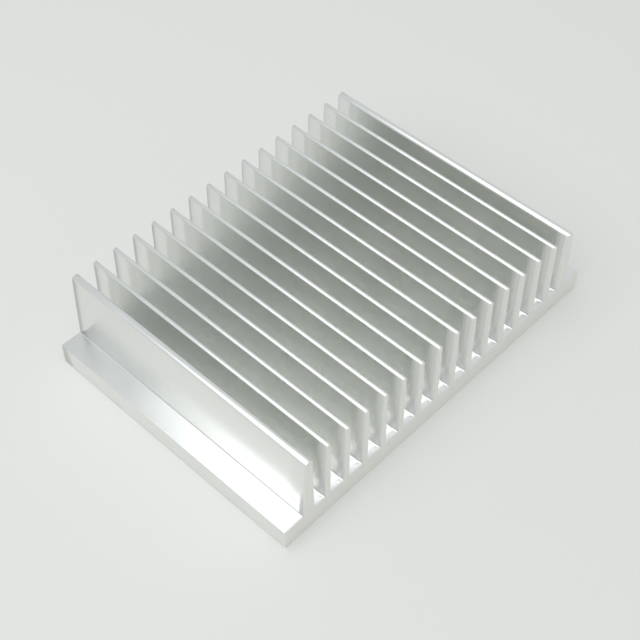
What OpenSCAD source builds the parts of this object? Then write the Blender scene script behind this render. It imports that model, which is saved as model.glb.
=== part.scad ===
// Extruded heat sink: a flat base plate with a row of straight upright fins.
// One bar of aluminium, cut to length. The two outer fins are stouter than the rest.
//
// The mounting face is the plane Z = 0. X runs across the fins and Y along the bar,
// and the origin is the middle of the mounting face.

/* [Cut piece] */
// Length of the piece cut from the bar, along the fins
cut_length = 150; // [20:1:600]
// Height from the mounting face to the fin tips
overall_height = 50; // [30:0.5:120]

/* [Base plate] */
// Thickness of the plate under the fins
base_thickness = 12; // [4:0.5:20]
// Distance from each side edge to the centre of its outer fin
edge_margin = 15; // [8:0.5:40]
// Radius along the four long edges of the plate
edge_radius = 0.4; // [0.1:0.1:1.5]

/* [Fins] */
// Number of fins, the two outer ones included
fin_count = 16; // [3:1:32]
// Distance between the centres of neighbouring fins
fin_pitch = 12; // [9:0.5:30]
// Thickness of an inner fin at its tip
inner_tip = 2.3; // [1.2:0.1:3]
// Thickness of an inner fin where it meets the plate
inner_root = 3.3; // [2.2:0.1:5]
// Thickness of an outer fin at its tip
outer_tip = 4; // [2:0.1:6]
// Thickness of an outer fin where it meets the plate
outer_root = 7; // [4:0.1:9]
// Radius of the corners along a fin tip, as large as the tip has room for
tip_radius = 1.8; // [0.2:0.1:2.5]
// Radius of the fillets where a fin meets the plate
root_radius = 0.8; // [0.1:0.1:2]

/* [Hidden] */

$fn = 32;

fin_height = overall_height - base_thickness;
body_width = 2 * edge_margin + (fin_count - 1) * fin_pitch;

// Narrowest flat that is left along a fin tip and along the floor of a groove
least_flat = 0.2;
// Width of the narrowest groove, between an outer fin and its neighbour
narrow_groove = fin_pitch - (outer_root + inner_root) / 2;
fillet_r = min(root_radius, (narrow_groove - least_flat) / 2);
// Depth by which a flank and a round overlap where they touch, so that they cross cleanly
hair = 0.0002;

function is_outer(i) = i == 0 || i == fin_count - 1;
function fin_x(i) = (i - (fin_count - 1) / 2) * fin_pitch;
function tip_width(i) = is_outer(i) ? outer_tip : inner_tip;
function root_width(i) = is_outer(i) ? outer_root : inner_root;

// Angle that each flank of a fin leans in from upright
function flank_lean(tip, root) = atan((root - tip) / 2 / fin_height);

// Section of the plate, with its four corners rounded
module plate_section() {
    half_w = body_width / 2;
    for (side = [-1, 1], level = [edge_radius, base_thickness - edge_radius])
        translate([side * (half_w - edge_radius), level])
            circle(r = edge_radius);
    translate([-half_w + edge_radius, 0])
        square([body_width - 2 * edge_radius, base_thickness]);
    translate([-half_w, edge_radius])
        square([body_width, base_thickness - 2 * edge_radius]);
}

// Section of one fin above the plate: straight leaning flanks and a tip with round corners.
// A corner's circle touches the top line and the flank, and the polygon runs through
// the touching points, a hair inside the circle on the flank. The foot reaches down
// into the plate.
module fin_section(tip, root) {
    lean = flank_lean(tip, root);
    r = min(tip_radius, (tip - least_flat) / 2);
    corner = [tip / 2 + r * tan(lean) - r / cos(lean), fin_height - r];
    touch = corner + (r - hair) * [cos(lean), sin(lean)];
    foot = [root / 2, -base_thickness / 2];
    polygon([
        [-foot.x, foot.y], [foot.x, foot.y], [root / 2, 0],
        touch, [corner.x, fin_height],
        [-corner.x, fin_height], [-touch.x, touch.y], [-root / 2, 0]
    ]);
    for (side = [-1, 1])
        translate([side * corner.x, corner.y])
            circle(r = r);
}

// Section of the two fillets at the foot of a fin: the corner between flank and plate,
// less the circle that touches the plate and dips a hair under the flank.
module root_section(tip, root) {
    lean = flank_lean(tip, root);
    centre = [root / 2 - fillet_r * tan(lean) + (fillet_r - hair) / cos(lean), fillet_r];
    touch = centre - (fillet_r + hair) * [cos(lean), sin(lean)];
    difference() {
        polygon([
            [-centre.x, -base_thickness / 2], [centre.x, -base_thickness / 2],
            centre, touch, [-touch.x, touch.y], [-centre.x, centre.y]
        ]);
        for (side = [-1, 1])
            translate([side * centre.x, centre.y])
                circle(r = fillet_r);
    }
}

// Whole section of the bar
module bar_section() {
    plate_section();
    translate([0, base_thickness])
        for (i = [0 : fin_count - 1])
            translate([fin_x(i), 0]) {
                fin_section(tip_width(i), root_width(i));
                root_section(tip_width(i), root_width(i));
            }
}

// The bar cut to length, with its section upright across X
module heatsink() {
    color([0.80, 0.80, 0.78])
        rotate([90, 0, 0])
            linear_extrude(height = cut_length, center = true)
                bar_section();
}

heatsink();
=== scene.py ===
"""Looks of an extruded aluminium heat sink: a flat plate with a comb of straight fins.

The bar is drawn through a die, so its surface is one section carried along Y. The section is
worked out here once more, finer than the frame's solid, and gets the two finishes that the
real bar has: the skin that the die leaves along it, and the sawn face at each end.
"""

import logging
import math
from dataclasses import dataclass, field
from enum import Enum
from typing import Any, Sequence

import bpy
import numpy as np
from mathutils import Matrix, Vector


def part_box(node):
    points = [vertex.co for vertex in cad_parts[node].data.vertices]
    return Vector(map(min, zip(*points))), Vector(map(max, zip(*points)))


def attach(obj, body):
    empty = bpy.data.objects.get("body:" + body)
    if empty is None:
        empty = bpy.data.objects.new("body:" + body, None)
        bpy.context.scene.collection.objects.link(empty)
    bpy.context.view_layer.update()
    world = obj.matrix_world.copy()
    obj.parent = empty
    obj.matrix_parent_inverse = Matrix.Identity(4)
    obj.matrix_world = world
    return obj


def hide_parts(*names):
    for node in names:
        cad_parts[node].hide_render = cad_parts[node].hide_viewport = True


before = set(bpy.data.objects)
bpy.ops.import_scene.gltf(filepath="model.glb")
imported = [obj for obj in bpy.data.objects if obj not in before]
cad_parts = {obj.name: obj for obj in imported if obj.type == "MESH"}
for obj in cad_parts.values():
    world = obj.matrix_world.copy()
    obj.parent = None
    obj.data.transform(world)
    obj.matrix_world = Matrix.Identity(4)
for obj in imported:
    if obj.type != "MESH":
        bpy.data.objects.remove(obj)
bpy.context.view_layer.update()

LOG = logging.getLogger("heat_sink")
MM = 0.001
CAD_NODE = "heatsink"
BODY = "root"
SECTION_UV = "section"
SENSOR_MM = 36.0
CLIP_START = 0.01


# ---------------------------------------------------------------- colours and nodes


def linear(hex_colour: str) -> tuple[float, float, float, float]:
    """Turns an sRGB hex colour into the linear colour that a shader takes.

    Args:
        hex_colour: Six hex digits, such as "C8C8C4".

    Returns:
        Red, green, blue and an alpha of 1, where a channel c is c / 12.92 when it is at most
        0.04045, and ((c + 0.055) / 1.055) to the power 2.4 above that.
    """
    channels = [int(hex_colour[i : i + 2], 16) / 255 for i in (0, 2, 4)]
    red, green, blue = (
        c / 12.92 if c <= 0.04045 else ((c + 0.055) / 1.055) ** 2.4 for c in channels
    )
    return red, green, blue, 1.0


def add_node(
    tree: bpy.types.NodeTree,
    kind: str,
    settings: dict[str, Any] | None = None,
    inputs: dict[Any, Any] | None = None,
) -> bpy.types.Node:
    """Adds one node with its settings, and with a value or a link for each named input.

    Args:
        tree: The node tree that the node goes into.
        kind: The node's type name.
        settings: The node's own properties by name.
        inputs: A constant or an output socket by the input's name or number.

    Returns:
        The new node.
    """
    node = tree.nodes.new(kind)
    for name, value in (settings or {}).items():
        setattr(node, name, value)
    for name, value in (inputs or {}).items():
        if isinstance(value, bpy.types.NodeSocket):
            tree.links.new(value, node.inputs[name])
        else:
            node.inputs[name].default_value = value
    return node


def new_material(name: str) -> tuple[bpy.types.Material, bpy.types.NodeTree]:
    """Makes an empty node material.

    Args:
        name: The material's name.

    Returns:
        The material and its cleared node tree.
    """
    material = bpy.data.materials.new(name)
    material.use_nodes = True
    material.node_tree.nodes.clear()
    return material, material.node_tree


# ---------------------------------------------------------------- the bar's section


class FinKind(Enum):
    """The two kinds of fin in the comb."""

    OUTER = "outer"
    INNER = "inner"


@dataclass(frozen=True)
class FinShape:
    """Thickness of a fin in millimetres, where it ends and where it meets the plate."""

    tip: float
    root: float


def arc(
    centre: Sequence[float], radius: float, start_deg: float, end_deg: float, steps: int
) -> np.ndarray:
    """Points along an arc, with the direction that each one faces when the arc is convex.

    A point is the centre plus the radius times (cos t, sin t), with t in equal steps.

    Args:
        centre: The arc's centre in the section, in millimetres.
        radius: The arc's radius in millimetres.
        start_deg: Angle of the first point.
        end_deg: Angle of the last point.
        steps: Number of equal steps.

    Returns:
        An array of steps + 1 rows of x, z, facing x and facing z.
    """
    turn = np.radians(np.linspace(start_deg, end_deg, steps + 1))
    facing = np.stack([np.cos(turn), np.sin(turn)], axis=1)
    return np.hstack([np.asarray(centre) + radius * facing, facing])


@dataclass
class BarSection:
    """The section of the bar, in millimetres, with X across it and Z up from the mounting face."""

    width: float
    height: float
    plate: float = 12.0
    fin_count: int = 16
    fin_pitch: float = 12.0
    outer_fin: FinShape = FinShape(tip=4.0, root=7.0)
    inner_fin: FinShape = FinShape(tip=2.3, root=3.3)
    tip_radius: float = 1.8
    root_radius: float = 0.8
    edge_radius: float = 0.4
    least_flat: float = 0.2
    arc_steps: int = 8

    def shape(self, kind: FinKind) -> FinShape:
        """Looks up the fin shape of that kind.

        Args:
            kind: Which kind of fin.

        Returns:
            The thickness of such a fin at its tip and root.
        """
        return self.outer_fin if kind is FinKind.OUTER else self.inner_fin

    def right_half_fin(self, kind: FinKind) -> np.ndarray:
        """The right half of a fin that stands on X = 0, from the top down to the plate.

        The flank leans in by the angle whose tangent is half the taper over the height. The
        tip's arc touches the top line and the flank, and the root's arc touches the flank and
        the plate. A touching point lies on the arc's centre plus or minus its radius times
        (cos lean, sin lean).

        Args:
            kind: Which kind of fin.

        Returns:
            Rows of x, z, facing x and facing z.
        """
        fin = self.shape(kind)
        lean = math.atan((fin.root - fin.tip) / 2 / (self.height - self.plate))
        lean_deg = math.degrees(lean)
        tip_r = min(self.tip_radius, (fin.tip - self.least_flat) / 2)
        tip_x = fin.tip / 2 + tip_r * math.tan(lean) - tip_r / math.cos(lean)
        root_r = self.root_radius
        root_x = fin.root / 2 - root_r * math.tan(lean) + root_r / math.cos(lean)
        tip = arc((tip_x, self.height - tip_r), tip_r, 90, lean_deg, self.arc_steps)
        root = arc(
            (root_x, self.plate + root_r), root_r, 180 + lean_deg, 270, self.arc_steps
        )
        root[:, 2:] *= -1
        return np.vstack([tip, root])

    def fin(self, index: int) -> np.ndarray:
        """One fin's outline from its left foot over the tip to its right foot.

        Args:
            index: Place of the fin in the comb, from 0 at the left.

        Returns:
            Rows of x, z, facing x and facing z.
        """
        outer = index in (0, self.fin_count - 1)
        right = self.right_half_fin(FinKind.OUTER if outer else FinKind.INNER)
        left = right[::-1] * (-1, 1, -1, 1)
        outline = np.vstack([left, right])
        outline[:, 0] += (index - (self.fin_count - 1) / 2) * self.fin_pitch
        return outline

    def outline(self) -> np.ndarray:
        """The whole section, once round clockwise from the bottom's right corner.

        Returns:
            Rows of x, z, facing x and facing z. The last row joins the first.
        """
        edge_x = self.width / 2 - self.edge_radius
        low = self.edge_radius
        high = self.plate - self.edge_radius
        corners = {
            "bottom_left": arc((-edge_x, low), low, 270, 180, self.arc_steps),
            "top_left": arc((-edge_x, high), low, 180, 90, self.arc_steps),
            "top_right": arc((edge_x, high), low, 90, 0, self.arc_steps),
            "bottom_right": arc((edge_x, low), low, 0, -90, self.arc_steps),
        }
        comb = [self.fin(i) for i in range(self.fin_count)]
        return np.vstack(
            [corners["bottom_left"], corners["top_left"], *comb]
            + [corners["top_right"], corners["bottom_right"]]
        )


# ---------------------------------------------------------------- finishes


@dataclass(frozen=True)
class ExtrudedSkin:
    """Mill-finish extruded aluminium, straight from the die.

    The die draws fine lines along the bar, so a light spreads across them and stays crisp
    along them: the metal is half glossy, clearer lengthways than crossways.
    """

    colour: str = "EDEEEC"
    metallic: float = 1.0
    roughness: float = 0.23
    anisotropy: float = 0.74
    line_spacing_mm: float = 0.9
    line_length_mm: float = 260.0
    line_depth_mm: float = 0.004
    line_strength: float = 0.5
    cloud_size_mm: float = 35.0
    cloud_range: tuple[float, float] = (0.3, 0.7)
    cloud_swing: float = 0.03

    def material(self) -> bpy.types.Material:
        """Builds the node material.

        Returns:
            The material.
        """
        material, tree = new_material("extruded_aluminium_skin")
        place = add_node(tree, "ShaderNodeTexCoord").outputs["Object"]
        across = 1 / (self.line_spacing_mm * MM)
        along = 1 / (self.line_length_mm * MM)
        stretched = add_node(
            tree, "ShaderNodeMapping", inputs={"Vector": place, "Scale": (across, along, across)}
        ).outputs[0]
        lines = add_node(
            tree,
            "ShaderNodeTexNoise",
            inputs={"Vector": stretched, "Scale": 1.0, "Detail": 2.0, "Roughness": 0.6},
        ).outputs["Fac"]
        clouds = add_node(
            tree,
            "ShaderNodeTexNoise",
            inputs={"Vector": place, "Scale": 1 / (self.cloud_size_mm * MM), "Detail": 2.0},
        ).outputs["Fac"]
        mottle = add_node(
            tree,
            "ShaderNodeMapRange",
            inputs={
                "Value": clouds,
                "From Min": self.cloud_range[0],
                "From Max": self.cloud_range[1],
                "To Min": self.roughness - self.cloud_swing,
                "To Max": self.roughness + self.cloud_swing,
            },
        ).outputs[0]
        relief = add_node(
            tree,
            "ShaderNodeBump",
            inputs={
                "Height": lines,
                "Strength": self.line_strength,
                "Distance": self.line_depth_mm * MM,
            },
        ).outputs[0]
        tangent = add_node(
            tree,
            "ShaderNodeTangent",
            settings={"direction_type": "UV_MAP", "uv_map": SECTION_UV},
        ).outputs[0]
        metal = add_node(
            tree,
            "ShaderNodeBsdfPrincipled",
            inputs={
                "Base Color": linear(self.colour),
                "Metallic": self.metallic,
                "Roughness": mottle,
                "Anisotropic": self.anisotropy,
                "Normal": relief,
                "Tangent": tangent,
            },
        ).outputs[0]
        add_node(tree, "ShaderNodeOutputMaterial", inputs={"Surface": metal})
        return material


@dataclass(frozen=True)
class SawnEnd:
    """Aluminium cut square by a fine circular saw: satin, with faint marks of the blade."""

    colour: str = "EFEFEB"
    roughness: float = 0.45
    mark_spacing_mm: float = 0.8
    mark_depth_mm: float = 0.01
    mark_strength: float = 0.5
    mark_stretch: float = 30
    mark_tilt: float = 0.35

    def material(self) -> bpy.types.Material:
        """Builds the node material.

        Returns:
            The material.
        """
        material, tree = new_material("sawn_aluminium_end")
        place = add_node(tree, "ShaderNodeTexCoord").outputs["Object"]
        across = 1 / (self.mark_spacing_mm * MM)
        stretched = add_node(
            tree,
            "ShaderNodeMapping",
            inputs={
                "Vector": place,
                "Rotation": (0, self.mark_tilt, 0),
                "Scale": (across / self.mark_stretch, 1, across),
            },
        ).outputs[0]
        marks = add_node(
            tree,
            "ShaderNodeTexNoise",
            inputs={"Vector": stretched, "Scale": 1.0, "Detail": 3.0, "Roughness": 0.6},
        ).outputs["Fac"]
        relief = add_node(
            tree,
            "ShaderNodeBump",
            inputs={
                "Height": marks,
                "Strength": self.mark_strength,
                "Distance": self.mark_depth_mm * MM,
            },
        ).outputs[0]
        metal = add_node(
            tree,
            "ShaderNodeBsdfPrincipled",
            inputs={
                "Base Color": linear(self.colour),
                "Metallic": 1.0,
                "Roughness": self.roughness,
                "Normal": relief,
            },
        ).outputs[0]
        add_node(tree, "ShaderNodeOutputMaterial", inputs={"Surface": metal})
        return material


class Finish(Enum):
    """Material slots of the bar, by number."""

    SKIN = 0
    SAWN = 1


# ---------------------------------------------------------------- the heat sink


@dataclass
class HeatSink:
    """The bar cut to length: its section carried along Y, closed by two sawn faces."""

    section: BarSection
    length: float
    burr_break: float = 0.15
    stations: int = 16
    skin: ExtrudedSkin = field(default_factory=ExtrudedSkin)
    sawn: SawnEnd = field(default_factory=SawnEnd)

    def rings(self) -> tuple[np.ndarray, np.ndarray]:
        """Places along Y, and how far the section is drawn in at each one.

        The first and last rings are drawn in by the small bevel that a deburred edge has.

        Returns:
            The places along Y and the inward offsets, in millimetres.
        """
        half = self.length / 2
        inner = np.linspace(-half + self.burr_break, half - self.burr_break, self.stations)
        along = np.concatenate([[-half], inner, [half]])
        inset = np.zeros_like(along)
        inset[[0, -1]] = self.burr_break
        return along, inset

    def mesh(self) -> bpy.types.Mesh:
        """Builds the mesh: a grid of section points by rings, and one face at each end.

        A vertex is (x - inset * facing x, place along Y, z - inset * facing z). Section points
        run clockwise seen from the front, and a quad joins point p and p + 1 on rings r and
        r + 1 so that it faces outwards.

        Returns:
            The mesh, in metres, with a UV map of distance round the section by distance along.
        """
        outline = self.section.outline()
        along, inset = self.rings()
        count, rings = len(outline), len(along)
        flat = outline[None, :, :2] - inset[:, None, None] * outline[None, :, 2:]
        place = np.empty((rings, count, 3))
        place[:, :, [0, 2]] = flat
        place[:, :, 1] = along[:, None]

        point = np.arange(count)
        ring = np.arange(rings - 1)[:, None] * count
        after = np.roll(point, -1)
        quads = np.stack(
            [ring + point, ring + after, ring + count + after, ring + count + point], axis=-1
        ).reshape(-1, 4)
        faces = quads.tolist()
        faces.append(point[::-1].tolist())
        faces.append((point + (rings - 1) * count).tolist())

        mesh = bpy.data.meshes.new("heatsink_bar")
        mesh.from_pydata((place.reshape(-1, 3) * MM).tolist(), [], faces)
        finish = np.zeros(len(faces), dtype=np.int32)
        finish[-2:] = Finish.SAWN.value
        mesh.polygons.foreach_set("material_index", finish)

        step = np.hypot(*np.diff(outline[:, :2], axis=0, append=outline[:1, :2]).T)
        run = np.concatenate([[0.0], np.cumsum(step)])
        low = np.broadcast_to(along[:-1, None], (rings - 1, count))
        high = np.broadcast_to(along[1:, None], (rings - 1, count))
        u = np.stack([run[:-1], run[1:], run[1:], run[:-1]], axis=-1)
        u = np.broadcast_to(u, (rings - 1, count, 4))
        v = np.stack([low, low, high, high], axis=-1)
        side_uv = np.stack([u, v], axis=-1).reshape(-1, 2)
        end_uv = outline[::-1, :2], outline[:, :2]
        uv = np.vstack([side_uv, *end_uv]) * MM
        layer = mesh.uv_layers.new(name=SECTION_UV)
        layer.data.foreach_set("uv", uv.astype(np.float32).ravel())

        smooth = np.ones(len(faces), dtype=bool)
        smooth[-2:] = False
        mesh.polygons.foreach_set("use_smooth", smooth)
        mesh.update()
        return mesh

    def build(self) -> bpy.types.Object:
        """Makes the object, dresses it and gives it its place in the frame.

        Returns:
            The finished piece.
        """
        bar = bpy.data.objects.new("heatsink_bar", self.mesh())
        bpy.context.scene.collection.objects.link(bar)
        bar.data.materials.append(self.skin.material())
        bar.data.materials.append(self.sawn.material())
        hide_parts(CAD_NODE)
        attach(bar, BODY)
        return bar


# ---------------------------------------------------------------- the studio


@dataclass(frozen=True)
class Softbox:
    """A rectangular area lamp, in millimetres and watts, aimed at a point."""

    name: str
    place: tuple[float, float, float]
    target: tuple[float, float, float]
    size: tuple[float, float]
    watts: float
    colour: str = "FFFFFF"

    def build(self) -> bpy.types.Object:
        """Adds the lamp.

        Returns:
            The lamp object.
        """
        lamp = bpy.data.lights.new(self.name, "AREA")
        lamp.shape = "RECTANGLE"
        lamp.size, lamp.size_y = (side * MM for side in self.size)
        lamp.energy = self.watts
        lamp.color = linear(self.colour)[:3]
        obj = bpy.data.objects.new(self.name, lamp)
        obj.location = Vector(self.place) * MM
        aim = Vector(self.target) - Vector(self.place)
        obj.rotation_euler = aim.to_track_quat("-Z", "Y").to_euler()
        bpy.context.scene.collection.objects.link(obj)
        return obj


@dataclass(frozen=True)
class Viewpoint:
    """The camera: where it aims, in millimetres, from which side and how far away."""

    aim: tuple[float, float, float] = (-16.0, -10.9, 25.0)
    bearing_deg: float = -46.67
    elevation_deg: float = 49.72
    roll_deg: float = 0.37
    distance: float = 610.3
    lens_mm: float = 72.5

    def build(self) -> bpy.types.Object:
        """Adds the camera and makes it the scene's own.

        The camera's back direction is (sin b cos e, -cos b cos e, sin e) for bearing b and
        elevation e, its right is level before the roll, and the roll turns both about it.

        Returns:
            The camera object.
        """
        bearing, elevation, roll = (
            math.radians(a) for a in (self.bearing_deg, self.elevation_deg, self.roll_deg)
        )
        back = Vector(
            (
                math.sin(bearing) * math.cos(elevation),
                -math.cos(bearing) * math.cos(elevation),
                math.sin(elevation),
            )
        )
        level = Vector((0, 0, 1)).cross(back).normalized()
        upright = back.cross(level)
        right = math.cos(roll) * level + math.sin(roll) * upright
        up = back.cross(right)
        turn = Matrix((right, up, back)).transposed().to_4x4()
        lens = bpy.data.cameras.new("camera")
        lens.lens = self.lens_mm
        lens.sensor_width = SENSOR_MM
        lens.clip_start = CLIP_START
        camera = bpy.data.objects.new("camera", lens)
        spot = (Vector(self.aim) + back * self.distance) * MM
        camera.matrix_world = Matrix.Translation(spot) @ turn
        bpy.context.scene.collection.objects.link(camera)
        bpy.context.scene.camera = camera
        return camera


@dataclass
class Studio:
    """Plain pale floor, even surroundings and one broad softbox overhead."""

    floor_size: float = 6000.0
    paper: str = "DEDEDA"
    sky: str = "F9FDFF"
    surround: float = 0.7
    bounces: int = 40
    view: Viewpoint = field(default_factory=Viewpoint)
    lamps: tuple[Softbox, ...] = (
        Softbox("softbox_overhead", (-444, 60, 1219), (0, 60, 0), (1330, 2180), 10),
    )

    def floor(self) -> bpy.types.Object:
        """Adds the floor, a plain pale sheet that keeps the object's shadow.

        Returns:
            The floor object.
        """
        half = self.floor_size / 2 * MM
        corners = np.array([(-1, -1, 0), (1, -1, 0), (1, 1, 0), (-1, 1, 0)]) * half
        mesh = bpy.data.meshes.new("floor")
        mesh.from_pydata(corners.tolist(), [], [(0, 1, 2, 3)])
        floor = bpy.data.objects.new("floor", mesh)
        bpy.context.scene.collection.objects.link(floor)
        material, tree = new_material("pale_paper_floor")
        paper = add_node(
            tree,
            "ShaderNodeBsdfDiffuse",
            inputs={"Color": linear(self.paper)},
        ).outputs[0]
        add_node(tree, "ShaderNodeOutputMaterial", inputs={"Surface": paper})
        floor.data.materials.append(material)
        return floor

    def world(self) -> None:
        """Sets the surroundings: an even pale light from all sides."""
        world = bpy.data.worlds.new("studio")
        bpy.context.scene.world = world
        world.use_nodes = True
        world.node_tree.nodes.clear()
        glow = add_node(
            world.node_tree,
            "ShaderNodeBackground",
            inputs={"Color": linear(self.sky), "Strength": self.surround},
        ).outputs[0]
        add_node(world.node_tree, "ShaderNodeOutputWorld", inputs={"Surface": glow})

    def build(self) -> None:
        """Adds the floor, the surroundings, the lamps and the camera.

        Light crosses a channel between two fins many times, so it gets many bounces.
        """
        self.floor()
        self.world()
        for lamp in self.lamps:
            lamp.build()
        self.view.build()
        scene = bpy.context.scene
        scene.view_settings.view_transform = "Standard"
        scene.cycles.max_bounces = self.bounces
        scene.cycles.glossy_bounces = self.bounces
        scene.cycles.blur_glossy = 0.0


# ---------------------------------------------------------------- making it


def main() -> None:
    """Builds the heat sink and its studio."""
    logging.basicConfig(level=logging.INFO, format="%(name)s: %(message)s")
    low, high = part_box(CAD_NODE)
    width, length, height = (round((b - a) / MM, 3) for a, b in zip(low, high))
    bar = HeatSink(BarSection(width, height), length).build()
    LOG.info("%s: %d faces", bar.name, len(bar.data.polygons))
    Studio().build()


if __name__ == "__main__":
    main()
